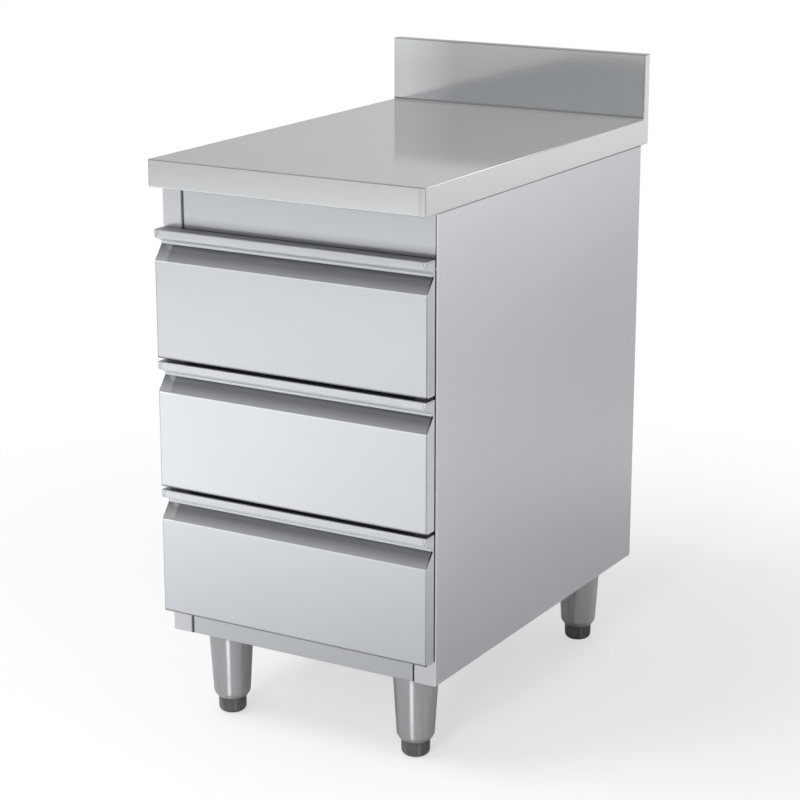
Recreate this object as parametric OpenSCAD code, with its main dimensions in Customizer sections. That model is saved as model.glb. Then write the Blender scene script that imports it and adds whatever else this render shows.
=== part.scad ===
// Stainless steel drawer cabinet with a worktop, three drawers on telescopic slides and four levelling feet.
// The origin is on the floor under the middle of the worktop. X runs to the right, Y to the back, Z up.

/* [Worktop] */
// Width of the worktop, left to right
worktop_w = 450; // [420:5:600]
// Depth of the worktop, front to back
worktop_d = 700; // [665:5:800]
// Height of the worktop above the floor
worktop_z = 850; // [830:1:900]
// Height of the folded edge round the worktop
apron_h = 40; // [30:1:50]
// Thickness of the worktop's sheet
worktop_t = 1.5; // [1:0.1:2]
// Width of the flange folded in under the worktop's side edges
apron_return = 25; // [22:1:35]
// Height of the upstand above the worktop
upstand_h = 100; // [60:5:150]
// Thickness of the upstand, front to back
upstand_t = 17; // [14:0.5:25]
// Inner radius of the worktop's folds
worktop_fold = 0.5; // [0.3:0.1:1.5]
// Inner radius where the worktop turns up into the upstand
cove_r = 4; // [2:0.5:8]

/* [Body] */
// Distance from the worktop's front edge back to the body's front
front_overhang = 31; // [28:0.5:36]
// Distance from the body's back to the upstand's back
rear_overhang = 22; // [10:1:28]
// Step from the worktop's side edge in to the body's side
side_step = 1; // [0.6:0.1:2]
// Thickness of the body's sheet
sheet = 1; // [0.8:0.1:1.2]
// Outer radius of the body's folds
fold_r = 2; // [1.8:0.1:2.5]
// Width of the corner posts folded at the front
post_w = 35; // [32:1:42]
// Depth of the flange folded back from each corner post
post_return = 18; // [12:1:18]
// Width of the flanges round the panels
flange_w = 20; // [16:1:22]
// Visible height of the fascia above the top drawer
fascia_h = 61; // [50:1:70]
// Visible height of the rail under the bottom drawer
rail_h = 37; // [30:1:45]
// How far the fascia and the rail reach behind the drawer fronts
overlap_h = 12; // [8:1:14]
// Width of the seams between the front pieces
seam = 1.2; // [0.6:0.1:2]

/* [Legs] */
// Height of the body's underside above the floor
leg_h = 137; // [125:1:150]
// Distance from the worktop's side to the leg's axis
leg_side = 65; // [62:1:70]
// Distance from the body's front or back to the leg's axis
leg_inset = 57; // [50:1:70]
// Radius of the leg's sleeve at the top
leg_top_r = 34; // [32:0.5:36]
// Radius of the leg's sleeve above its rounded mouth
leg_low_r = 27.6; // [26:0.2:30]
// Thickness of the sleeve's sheet
sleeve_t = 1.2; // [0.8:0.1:1.5]
// Height of the sleeve's mouth above the floor
mouth_z = 25.5; // [22:0.5:30]
// Radius of the levelling foot
foot_r = 21.5; // [19:0.5:22]
// Distance across the flats of the foot
foot_flats = 40.4; // [38:0.2:42]
// Radius of the foot's threaded stem
stem_r = 8; // [6:0.5:10]
// How far the foot can be screwed out
foot_out = 25; // [15:1:25]
// How far the foot can be screwed in
foot_in = 8; // [4:1:8]

/* [Drawers] */
// Gap between one drawer front and the next
front_gap = 4.7; // [3:0.1:7]
// Thickness of the drawer fronts, front to back
front_t = 21; // [20:0.5:23]
// Gap between the closed drawer fronts and the body
front_clear = 2.5; // [1.5:0.1:4]
// Step from the worktop's side edge in to the drawer fronts
front_step = 2.25; // [1.5:0.25:4]
// Thickness of the drawer fronts' sheet
front_sheet = 1; // [0.8:0.1:1.2]
// Height of the grip lip's front face, down to where its underside would meet it
lip_face = 12.4; // [10:0.2:14]
// Radius under the grip lip's front face
lip_r = 5; // [3:0.5:6]
// Depth of the grip behind the front face
grip_d = 16; // [13:0.5:16.5]
// Depth below the top at which the lip's underside ends
grip_top = 19.1; // [17:0.1:20]
// Depth below the top at which the sloping face starts
grip_low = 24; // [22:0.5:26]
// Depth below the top at which the sloping face reaches the front
slope_h = 44.7; // [40:0.5:50]
// Thickness of the drawer box's sheet
box_sheet = 1; // [0.8:0.1:1.2]
// Height of the drawer box
box_h = 130; // [110:1:145]
// Height of the drawer box's underside above the front's lower edge
box_rise = 20; // [16:1:26]
// Width of the rim folded out along the top of the drawer box
rim_w = 7; // [4:0.5:9]

/* [Slides] */
// Length of the telescopic slides
slide_l = 550; // [520:5:560]
// How far a drawer opens
travel = 530; // [480:5:540]
// Height of the slides
slide_h = 45; // [42:1:50]
// Thickness of the slides' strip
strip = 1.2; // [1:0.1:1.4]
// Gap between two members, which holds the balls
race = 4; // [3.6:0.1:4.4]
// Distance from the body's front to the slides' front end
slide_set = 5; // [3:0.5:7]
// Height of the slides' middle above the box's underside
slide_rise = 45; // [40:1:60]
// Room left at each end of a ball cage when the drawer is fully open
cage_end = 42.5; // [30:0.5:60]
// Number of balls along a cage
ball_count = 4; // [2:1:8]
// Width of the uprights that carry the slides
upright_w = 30; // [24:1:32]

/* [Hidden] */
$fn = 48;

steel = [0.78, 0.79, 0.81];
steel_dark = [0.62, 0.63, 0.65];
zinc = [0.70, 0.71, 0.72];
bright = [0.86, 0.86, 0.88];
board = [0.62, 0.50, 0.34];
plastic = [0.24, 0.25, 0.26];
rubber = [0.12, 0.12, 0.12];

// Steps in each rounded corner, and clearances between fixed and between turning pieces
arc_steps = 4;
fixed_clear = 0.2;
hole_clear = 0.1;
stem_clear = 0.06;
ball_clear = 0.05;
cut = 1;

// Limits of the body
body_x = worktop_w / 2 - side_step;
body_y0 = -worktop_d / 2 + front_overhang;
body_y1 = worktop_d / 2 - rear_overhang;
body_z0 = leg_h;
body_z1 = worktop_z - apron_h;
body_h = body_z1 - body_z0;
post_x = body_x - post_w;
upstand_y = worktop_d / 2 - upstand_t;
worktop_r = worktop_t + worktop_fold;
board_clear = 0.5;

// Drawer fronts: the stack fills what the fascia and the rail leave
drawers = 3;
front_h = (body_h - fascia_h - rail_h - (drawers - 1) * front_gap) / drawers;
front_x = worktop_w / 2 - front_step;
front_back = body_y0 - front_clear;
front_y = front_back - front_t;
corner_r = 4;
edge_r = 1.5;
function front_z(i) = body_z0 + rail_h + (drawers - i) * (front_h + front_gap);

// Drawer boxes and slides
member_gap = strip;
slide_t = 12.7;
box_x = post_x - slide_t;
slide_y = body_y0 + slide_set;
box_past = 4;
box_y1 = slide_y + slide_l + box_past;
slide_mid = slide_y + slide_l / 2;
cage_l = slide_l - travel / 2 - 2 * cage_end;
outer_v = slide_h / 2;
middle_v = outer_v - strip - race;
inner_v = middle_v - strip - race;
outer_u = 10.5;
outer_lip = 1;
middle_u0 = strip + member_gap;
middle_u1 = 11.2;
inner_u0 = 5.2;
cage_t = 0.7;
cage_web = 0.25;
outer_cage_u = [strip + cage_web, 9];
inner_cage_u = [middle_u0 + strip + cage_web, 10.4];
outer_ball_u = 6;
inner_ball_u = 8;
ball_r = race / 2 - ball_clear;
function box_z(i) = front_z(i) + box_rise;
function slide_z(i) = box_z(i) + slide_rise;

// Uprights, screws and rivets
upright_in = 36;
upright_y = [slide_y + upright_in, slide_y + slide_l - upright_in];
screw_r = 2;
screw_head_r = 3.2;
screw_l = 7;
carcass_front = 110;
carcass_rear = 45;
carcass_x = body_x - flange_w / 2;
carcass_y = [body_y0 + carcass_front, (body_y0 + body_y1) / 2, body_y1 - carcass_rear];
carcass_l = 20;
carcass_head_r = 4.5;
carcass_head_h = 2.5;
rivet_r = 1.6;
rivet_head_r = 3;
rivet_head_h = 0.8;
rivet_tail_r = 2.6;
rivet_tail_h = 1;
rivet_in = 60;
rivet_y = [slide_y + rivet_in, slide_y + slide_l - rivet_in];
rivet_side = 35;
rivet_x = box_x - rivet_side;
rivet_z = 25;

// Bumpers: height of each above the drawer front's lower edge
bumper_z = [25, 120];
bumper_r = 5;
bumper_gap = 0.3;

// Drawer fronts inside: where the grip's back leans in, and the folded edges of the liner
grip_lean = 0.5;
liner_drop = 10;
liner_fold = 12;

// Legs
leg_x = worktop_w / 2 - leg_side;
leg_y = [body_y0 + leg_inset, body_y1 - leg_inset];
plate_gap = 1;
plate_w = 2 * (post_x - leg_x - plate_gap);
plate_l = 90;
plate_t = 3;
bolt_r = 5;
bolt_head_r = 9.8;
bolt_head_h = 6;
bolt_l = 30;
insert_r = 18;
insert_top = body_z0 - sleeve_t;
insert_disc_h = 8;
insert_collar_h = 8;
insert_gap = 2;
thread_l = 15;
thread_end = 5;
sleeve_clear = 0.4;
sleeve_fold_r = 1.5;
sleeve_top_r = 24;
mouth_clear = 1.5;
mouth_rise = 7.5;
mouth_r = 5;
foot_cover = 8;
foot_round_r = 9;
foot_draft = 0.6;
foot_turn = 15;
foot_top = mouth_z + foot_cover;
insert_z = foot_top + foot_in + insert_gap;
stem_l = foot_in + insert_gap + foot_out + thread_l;

// Unit vector, turn to the left, and the point where two offset edges meet
function unit(v) = v / norm(v);
function left(v) = [-v[1], v[0]];
function xy(p) = [p[0], p[1]];
function miter(a, b, c, t) =
    let (n = left(unit(b - a)), m = left(unit(c - b)))
    b + t / (1 + n * m) * (n + m);

// Corner b between a and c, rounded to radius r by points on an arc
function corner(a, b, c, r) =
    r <= 0 ? [b] :
    let (
        u = unit(a - b),
        w = unit(c - b),
        half = acos(max(-1, min(1, u * w))) / 2,
        reach = r / tan(half),
        mid = b + unit(u + w) * r / sin(half),
        from = b + u * reach - mid,
        side = cross(u, w) > 0 ? -1 : 1,
        turn = 180 - 2 * half
    )
    [for (k = [0 : arc_steps])
        let (s = side * turn * k / arc_steps)
        mid + [from[0] * cos(s) - from[1] * sin(s), from[0] * sin(s) + from[1] * cos(s)]];

// Open path of [x, y, radius] points with its inner corners rounded
function rounded(path) = [
    for (i = [0 : len(path) - 1])
        each i == 0 || i == len(path) - 1 ? [xy(path[i])] :
        corner(xy(path[i - 1]), xy(path[i]), xy(path[i + 1]), path[i][2])
];

// Closed outline of [x, y, radius] points with all its corners rounded
function rounded_ring(ring) =
    let (n = len(ring))
    [for (i = [0 : n - 1])
        each corner(xy(ring[(i + n - 1) % n]), xy(ring[i]), xy(ring[(i + 1) % n]), ring[i][2])];

// The same path moved to its left by t
function offset_path(p, t) =
    let (n = len(p))
    [for (i = [0 : n - 1])
        i == 0 ? p[0] + t * left(unit(p[1] - p[0])) :
        i == n - 1 ? p[i] + t * left(unit(p[i] - p[i - 1])) :
        miter(p[i - 1], p[i], p[i + 1], t)];

function reversed(p) = [for (i = [len(p) - 1 : -1 : 0]) p[i]];

// Section of a folded sheet whose outer face follows the path, with its thickness on the left
module folded(path, t) {
    outer = rounded(path);
    polygon(concat(outer, reversed(offset_path(outer, t))));
}

// Places a YZ section along X, centred
module along_x(w) {
    rotate([90, 0, 90])
        linear_extrude(w, center = true)
            children();
}

// Box given by its lower and upper corners
module block(lo, hi) {
    translate(lo)
        cube(hi - lo);
}

// Copies a right-hand piece to the left when side is -1
module on_side(side) {
    mirror([side > 0 ? 0 : 1, 0, 0])
        children();
}

// Plain hole or shank along X from x0 to x1
module rod_x(r, x0, x1, y, z) {
    translate([x0, y, z])
        rotate([0, 90, 0])
            cylinder(r = r, h = x1 - x0);
}

// Worktop
module carcass_holes(r) {
    for (side = [-1, 1], y = carcass_y)
        translate([side * carcass_x, y, body_z1 - sheet - cut])
            cylinder(r = r, h = carcass_l + 2 * cut);
}

module worktop_section() {
    seat = 10;
    r = worktop_r;
    y0 = -worktop_d / 2;
    y1 = worktop_d / 2;
    folded([
        [body_y1 - seat, body_z1, 0],
        [y1, body_z1, r],
        [y1, worktop_z + upstand_h, r],
        [upstand_y, worktop_z + upstand_h, r],
        [upstand_y, worktop_z, cove_r],
        [y0, worktop_z, r],
        [y0, body_z1, r],
        [body_y0 + seat, body_z1, 0]
    ], worktop_t);
}

module worktop_end() {
    r = worktop_r;
    y0 = -worktop_d / 2;
    y1 = worktop_d / 2;
    polygon(rounded_ring([
        [y1, body_z1, r],
        [y1, worktop_z + upstand_h, r],
        [upstand_y, worktop_z + upstand_h, r],
        [upstand_y, worktop_z, cove_r],
        [y0, worktop_z, r],
        [y0, body_z1, r]
    ]));
}

// What rounding takes off the worktop's side edge
module side_edge_cut() {
    r = worktop_r;
    x = worktop_w / 2 - r;
    difference() {
        block([x, -worktop_d / 2 - cut, worktop_z - r], [x + r + cut, upstand_y - cove_r, worktop_z + cut]);
        translate([x, -worktop_d / 2 - 2 * cut, worktop_z - r])
            rotate([-90, 0, 0])
                cylinder(r = r, h = worktop_d);
    }
}

module worktop() {
    x1 = worktop_w / 2;
    y1 = worktop_d / 2;
    color(steel)
        difference() {
            union() {
                along_x(worktop_w - worktop_t)
                    worktop_section();
                for (side = [-1, 1]) {
                    translate([side * (x1 - worktop_t / 2), 0, 0])
                        along_x(worktop_t)
                            worktop_end();
                    on_side(side)
                        block([x1 - apron_return, -y1 + worktop_r, body_z1],
                            [x1 - worktop_t / 2, y1 - worktop_r, body_z1 + worktop_t]);
                }
            }
            for (side = [-1, 1])
                on_side(side)
                    side_edge_cut();
            carcass_holes(screw_r + hole_clear);
        }
}

module worktop_board() {
    x = worktop_w / 2 - worktop_t - fixed_clear;
    y = worktop_d / 2 - worktop_r - board_clear;
    color(board)
        difference() {
            block([-x, -y, body_z1 + worktop_t], [x, y, worktop_z - worktop_t]);
            carcass_holes(screw_r + hole_clear);
        }
}

module carcass_screws() {
    color(zinc)
        for (side = [-1, 1], y = carcass_y)
            translate([side * carcass_x, y, body_z1 - sheet]) {
                translate([0, 0, -carcass_head_h])
                    cylinder(r = carcass_head_r, h = carcass_head_h);
                cylinder(r = screw_r, h = carcass_l);
            }
}

// Body panels: the post at the front reaches up to post_z
module side_panel(post_z) {
    difference() {
        union() {
            difference() {
                translate([0, 0, body_z0])
                    linear_extrude(body_h)
                        folded([
                            [post_x, body_y0 + post_return, 0],
                            [post_x, body_y0, fold_r],
                            [body_x, body_y0, fold_r],
                            [body_x, body_y1, fold_r],
                            [body_x - flange_w, body_y1, 0]
                        ], sheet);
                block([post_x - cut, body_y0 - cut, post_z],
                    [body_x - sheet, body_y0 + post_return + cut, body_z1 + cut]);
            }
            block([body_x - flange_w, body_y0 + sheet, body_z1 - sheet],
                [body_x - sheet / 2, body_y1 - sheet, body_z1]);
            block([body_x - flange_w, body_y0 + sheet, body_z0 + sheet],
                [body_x - sheet / 2, body_y1 - sheet, body_z0 + 2 * sheet]);
        }
        carcass_holes(screw_r + hole_clear);
    }
}

module side_panel_left() {
    color(steel)
        on_side(-1)
            side_panel(body_z1);
}

// On the right the fascia runs over the post, which stops below it
module side_panel_right() {
    color(steel)
        side_panel(body_z1 - fascia_h - overlap_h - seam);
}

module back_panel() {
    x = body_x - fold_r - fixed_clear;
    y = body_y1 - sheet;
    top_x = body_x - flange_w - fixed_clear;
    color(steel_dark) {
        block([-x, y - sheet, body_z0 + 2 * sheet], [x, y, body_z1 - sheet]);
        block([-top_x, y - flange_w, body_z1 - sheet], [top_x, y, body_z1]);
    }
}

module floor_panel() {
    x = body_x - sheet - fixed_clear;
    y0 = body_y0 + max(flange_w, post_return) + fixed_clear;
    y1 = body_y1 - fold_r - fixed_clear;
    color(steel_dark)
        difference() {
            block([-x, y0, body_z0], [x, y1, body_z0 + sheet]);
            for (side = [-1, 1], y = leg_y)
                translate([side * leg_x, y, body_z0 - cut])
                    cylinder(r = bolt_r + hole_clear, h = sheet + 2 * cut);
        }
}

module top_fascia() {
    z = body_z1 - fascia_h - overlap_h;
    x0 = -(post_x - seam);
    x1 = body_x - sheet - fixed_clear;
    flange_x = body_x - flange_w - fixed_clear;
    color(steel) {
        translate([(x0 + x1) / 2, 0, 0])
            along_x(x1 - x0)
                folded([
                    [body_y0 + flange_w, z, 0],
                    [body_y0, z, fold_r],
                    [body_y0, body_z1, 0]
                ], -sheet);
        block([x0, body_y0 + sheet / 2, body_z1 - sheet], [flange_x, body_y0 + flange_w, body_z1]);
    }
}

module bottom_rail() {
    color(steel)
        along_x(2 * (post_x - seam))
            folded([
                [body_y0 + flange_w, body_z0, 0],
                [body_y0, body_z0, fold_r],
                [body_y0, body_z0 + rail_h + overlap_h, fold_r],
                [body_y0 + flange_w, body_z0 + rail_h + overlap_h, 0]
            ], -sheet);
}

// Two folded uprights that bring the slides in line with the corner post
module runner_posts() {
    difference() {
        for (y = upright_y)
            translate([0, 0, body_z0 + 2 * sheet])
                linear_extrude(body_h - 3 * sheet)
                    folded([
                        [body_x - sheet, y + upright_w / 2, 0],
                        [post_x, y + upright_w / 2, fold_r],
                        [post_x, y - upright_w / 2, fold_r],
                        [body_x - sheet, y - upright_w / 2, 0]
                    ], strip);
        for (i = [1 : drawers], y = upright_y)
            rod_x(screw_r + hole_clear, post_x - cut, post_x + screw_l, y, slide_z(i));
    }
}

module runner_posts_left() {
    color(zinc)
        on_side(-1)
            runner_posts();
}

module runner_posts_right() {
    color(zinc)
        runner_posts();
}

// Countersunk screws that hold the outer rails on the uprights
module rail_screws() {
    color(bright)
        for (side = [-1, 1], i = [1 : drawers], y = upright_y)
            on_side(side) {
                translate([post_x - strip, y, slide_z(i)])
                    rotate([0, 90, 0])
                        cylinder(r1 = screw_head_r, r2 = screw_r, h = strip);
                rod_x(screw_r, post_x, post_x + screw_l, y, slide_z(i));
            }
}

// Rubber stops on the corner posts, behind the closed drawer fronts
module bumpers() {
    color(rubber)
        for (side = [-1, 1], i = [1 : drawers], z = bumper_z)
            translate([side * (post_x + post_w / 2), body_y0, front_z(i) + z])
                rotate([90, 0, 0])
                    cylinder(r = bumper_r, h = front_clear - bumper_gap);
}

// Legs
module at_legs() {
    for (side = [-1, 1], y = leg_y)
        translate([side * leg_x, y, 0])
            children();
}

module leg_plates() {
    color(zinc)
        at_legs()
            difference() {
                translate([-plate_w / 2, -plate_l / 2, body_z0 + sheet])
                    cube([plate_w, plate_l, plate_t]);
                translate([0, 0, body_z0])
                    cylinder(r = bolt_r + hole_clear, h = sheet + plate_t + cut);
            }
}

module leg_bolts() {
    z = body_z0 + sheet + plate_t;
    color(bright)
        at_legs() {
            translate([0, 0, z])
                cylinder(r = bolt_head_r, h = bolt_head_h, $fn = 6);
            translate([0, 0, z - bolt_l])
                cylinder(r = bolt_r, h = bolt_l);
        }
}

// Radius of the sleeve's outside at height z, above its rounded mouth
function sleeve_r(z) =
    let (z0 = mouth_z + mouth_rise)
    leg_low_r + (leg_top_r - leg_low_r) * (z - z0) / (body_z0 - z0);

module leg_sleeve() {
    rotate_extrude()
        folded([
            [foot_r + mouth_clear, mouth_z, 0],
            [leg_low_r, mouth_z + mouth_rise, mouth_r],
            [leg_top_r, body_z0, sleeve_fold_r],
            [sleeve_top_r, body_z0, 0]
        ], sleeve_t);
}

// Moulded core in the sleeve: it takes the bolt above and the foot's stem below
module leg_inserts() {
    disc_r = sleeve_r(insert_top - insert_disc_h) - sleeve_t - sleeve_clear;
    collar_r = sleeve_r(insert_z) - sleeve_t - sleeve_clear;
    color(plastic)
        at_legs()
            difference() {
                union() {
                    translate([0, 0, insert_top - insert_disc_h])
                        cylinder(r = disc_r, h = insert_disc_h);
                    translate([0, 0, insert_z])
                        cylinder(r = insert_r, h = insert_top - insert_z);
                    translate([0, 0, insert_z])
                        cylinder(r = collar_r, h = insert_collar_h);
                }
                translate([0, 0, body_z0 + sheet + plate_t - bolt_l - cut])
                    cylinder(r = bolt_r + hole_clear, h = bolt_l + 2 * cut);
                translate([0, 0, insert_z - cut])
                    cylinder(r = stem_r + stem_clear, h = cut + stem_l - insert_gap + thread_end);
            }
}

module foot() {
    color(plastic) {
        intersection() {
            rotate_extrude()
                polygon(concat([[0, 0]], rounded([
                    [0, 0, 0],
                    [foot_r - foot_draft, 0, foot_round_r],
                    [foot_r, foot_top, 0]
                ]), [[0, foot_top]]));
            rotate([0, 0, foot_turn])
                cylinder(r = foot_flats / 2 / cos(30), h = foot_top, $fn = 6);
        }
        translate([0, 0, foot_top - cut])
            cylinder(r = stem_r, h = stem_l + cut);
    }
}

module leg_at(side, row) {
    color(steel)
        translate([side * leg_x, leg_y[row], 0])
            leg_sleeve();
}

module foot_at(side, row) {
    translate([side * leg_x, leg_y[row], 0])
        foot();
}

// Drawer front: a folded skin with a grip lip, closed at both ends
function front_path() = [
    [front_t, 0, 0],
    [0, 0, edge_r],
    [0, -lip_face, lip_r],
    [grip_d, -grip_top, edge_r],
    [grip_d + grip_lean, -grip_low, 0],
    [0, -slope_h, edge_r],
    [0, -front_h, fold_r],
    [front_t - corner_r, -front_h, 0]
];

module drawer_front(i) {
    path = front_path();
    color(steel)
        translate([0, front_y, front_z(i) + front_h]) {
            along_x(2 * front_x - front_sheet)
                folded(path, front_sheet);
            for (side = [-1, 1])
                translate([side * (front_x - front_sheet / 2), 0, 0])
                    along_x(front_sheet)
                        polygon(rounded_ring(concat(
                            [for (k = [1 : len(path) - 2]) path[k]],
                            [[front_t, -front_h, corner_r], [front_t, 0, 0]]
                        )));
        }
}

// Inner pan that closes the drawer front from behind
module drawer_liner(i) {
    x = front_x - front_sheet - fixed_clear;
    z0 = front_z(i) + front_sheet + fixed_clear;
    z1 = front_z(i) + front_h - front_sheet - fixed_clear;
    side_z = front_z(i) + front_h - slope_h - liner_drop;
    y0 = front_back - liner_fold;
    y1 = front_back - front_sheet / 2;
    color(steel_dark)
        difference() {
            union() {
                block([-x, front_back - front_sheet, z0], [x, front_back, z1]);
                block([-x, y0, z0], [x, y1, z0 + front_sheet]);
                for (side = [-1, 1])
                    on_side(side)
                        block([x - front_sheet, y0, z0], [x, y1, side_z]);
            }
            front_rivet_places(i)
                cylinder(r = rivet_r + hole_clear, h = 4 * front_sheet, center = true);
        }
}

module drawer_box(i) {
    z0 = box_z(i);
    z1 = z0 + box_h;
    t = box_sheet;
    color(steel_dark)
        difference() {
            union() {
                difference() {
                    block([-box_x, front_back, z0], [box_x, box_y1, z1]);
                    block([-box_x + t, front_back + t, z0 + t], [box_x - t, box_y1 - t, z1 + cut]);
                }
                for (side = [-1, 1])
                    on_side(side)
                        block([box_x - t / 2, body_y0 + cut, z1 - t], [box_x + rim_w, box_y1, z1]);
                block([-box_x - rim_w, box_y1 - t / 2, z1 - t], [box_x + rim_w, box_y1 + rim_w, z1]);
            }
            for (side = [-1, 1], y = rivet_y)
                on_side(side)
                    rod_x(rivet_r + hole_clear, box_x - 2 * t, box_x + t, y, slide_z(i));
            front_rivet_places(i)
                cylinder(r = rivet_r + hole_clear, h = 4 * t, center = true);
        }
}

// Four places where the box's front wall is riveted to the liner, with Z along the rivet
module front_rivet_places(i) {
    for (side = [-1, 1], z = [box_z(i) + rivet_z, box_z(i) + box_h - rivet_z])
        translate([side * rivet_x, front_back, z])
            rotate([90, 0, 0])
                children();
}

// Rivet with its head under Z = 0 and its tail past the grip
module rivet(grip) {
    translate([0, 0, -rivet_head_h])
        cylinder(r = rivet_head_r, h = rivet_head_h);
    cylinder(r = rivet_r, h = grip);
    translate([0, 0, grip])
        cylinder(r = rivet_tail_r, h = rivet_tail_h);
}

module drawer_rivets(i) {
    color(bright) {
        front_rivet_places(i)
            translate([0, 0, -box_sheet])
                rivet(box_sheet + front_sheet);
        for (side = [-1, 1], y = rivet_y)
            on_side(side)
                translate([box_x + strip, y, slide_z(i)])
                    rotate([0, -90, 0])
                        rivet(strip + box_sheet);
    }
}

// Slides: u runs from the upright towards the drawer box, v is up
module channel(u0, u1, v, t) {
    difference() {
        translate([u0, -v])
            square([u1 - u0, 2 * v]);
        translate([u0 + t, -v + t])
            square([u1 - u0, 2 * (v - t)]);
    }
}

module along_slide(side, i, y0, l) {
    on_side(side)
        translate([post_x, y0 + l, slide_z(i)])
            rotate([90, 0, 0])
                linear_extrude(l)
                    mirror([1, 0])
                        children();
}

module outer_rail(side, i) {
    color(zinc)
        difference() {
            along_slide(side, i, slide_y, slide_l) {
                channel(0, outer_u, outer_v, strip);
                for (v = [-outer_v + strip / 2, outer_v - strip - outer_lip])
                    translate([outer_u - strip, v])
                        square([strip, outer_lip + strip / 2]);
            }
            for (y = upright_y)
                on_side(side)
                    translate([post_x - strip, y, slide_z(i)])
                        rotate([0, 90, 0])
                            cylinder(r1 = screw_head_r + hole_clear, r2 = screw_r + hole_clear, h = strip);
        }
}

module middle_rail(side, i) {
    color(zinc)
        along_slide(side, i, slide_y, slide_l)
            channel(middle_u0, middle_u1, middle_v, strip);
}

module inner_rail(side, i) {
    color(zinc)
        difference() {
            along_slide(side, i, slide_y, slide_l)
                translate([slide_t, 0])
                    mirror([1, 0])
                        channel(0, slide_t - inner_u0, inner_v, strip);
            for (y = rivet_y)
                on_side(side)
                    rod_x(rivet_r + hole_clear, box_x - strip, box_x + 2 * strip, y, slide_z(i));
        }
}

// Where the balls of a cage run, as distances along the slide
function ball_y() = [
    for (k = [0 : ball_count - 1])
        slide_mid - cage_l / 2 + cage_l * (k + 0.5) / ball_count
];

// Pair of cages with their balls, for one gap of the left and right slides
module cages(i, u, ball_u, ball_v) {
    color(bright)
        for (side = [-1, 1]) {
            difference() {
                along_slide(side, i, slide_mid - cage_l / 2, cage_l)
                    channel(u[0], u[1], ball_v + cage_t / 2, cage_t);
                for (y = ball_y())
                    on_side(side)
                        translate([post_x - ball_u, y, slide_z(i) - outer_v])
                            cylinder(r = ball_r + hole_clear, h = 2 * outer_v);
            }
            for (y = ball_y(), v = [-ball_v, ball_v])
                on_side(side)
                    translate([post_x - ball_u, y, slide_z(i) + v])
                        sphere(r = ball_r);
        }
}

module outer_cages(i) {
    cages(i, outer_cage_u, outer_ball_u, middle_v + race / 2);
}

module inner_cages(i) {
    cages(i, inner_cage_u, inner_ball_u, inner_v + race / 2);
}

worktop();
worktop_board();
side_panel_left();
side_panel_right();
back_panel();
floor_panel();
top_fascia();
bottom_rail();
runner_posts_left();
runner_posts_right();
bumpers();
carcass_screws();
rail_screws();
leg_plates();
leg_bolts();
leg_inserts();
leg_at(-1, 0);  // leg_front_left
leg_at(1, 0);  // leg_front_right
leg_at(-1, 1);  // leg_rear_left
leg_at(1, 1);  // leg_rear_right
foot_at(-1, 0);  // foot_front_left
foot_at(1, 0);  // foot_front_right
foot_at(-1, 1);  // foot_rear_left
foot_at(1, 1);  // foot_rear_right
drawer_front(1);  // drawer_front_1
drawer_front(2);  // drawer_front_2
drawer_front(3);  // drawer_front_3
drawer_liner(1);  // drawer_liner_1
drawer_liner(2);  // drawer_liner_2
drawer_liner(3);  // drawer_liner_3
drawer_box(1);  // drawer_box_1
drawer_box(2);  // drawer_box_2
drawer_box(3);  // drawer_box_3
drawer_rivets(1);  // drawer_rivets_1
drawer_rivets(2);  // drawer_rivets_2
drawer_rivets(3);  // drawer_rivets_3
outer_rail(-1, 1);  // outer_rail_left_1
outer_rail(-1, 2);  // outer_rail_left_2
outer_rail(-1, 3);  // outer_rail_left_3
outer_rail(1, 1);  // outer_rail_right_1
outer_rail(1, 2);  // outer_rail_right_2
outer_rail(1, 3);  // outer_rail_right_3
middle_rail(-1, 1);  // middle_rail_left_1
middle_rail(-1, 2);  // middle_rail_left_2
middle_rail(-1, 3);  // middle_rail_left_3
middle_rail(1, 1);  // middle_rail_right_1
middle_rail(1, 2);  // middle_rail_right_2
middle_rail(1, 3);  // middle_rail_right_3
inner_rail(-1, 1);  // inner_rail_left_1
inner_rail(-1, 2);  // inner_rail_left_2
inner_rail(-1, 3);  // inner_rail_left_3
inner_rail(1, 1);  // inner_rail_right_1
inner_rail(1, 2);  // inner_rail_right_2
inner_rail(1, 3);  // inner_rail_right_3
outer_cages(1);  // outer_cages_1
outer_cages(2);  // outer_cages_2
outer_cages(3);  // outer_cages_3
inner_cages(1);  // inner_cages_1
inner_cages(2);  // inner_cages_2
inner_cages(3);  // inner_cages_3
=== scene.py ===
# %% [markdown]
# # A drawer cabinet in stainless steel
#
# The object is a drawer cabinet for a catering kitchen: a folded worktop with an upstand at the back, a body of
# folded sheet, three drawers with grip lips and four round legs. Nearly every surface is bare sheet steel, so
# the looks rest on two things: folds with real radii, which catch thin lines of light, and a finish that blurs
# the room it mirrors. The measured CAD model is loaded first. It gives every place and size, and it carries the
# joints, so each piece that is made here rides on one of its bodies.

# %% Load the measured model
from math import cos, pi, radians, sin

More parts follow.
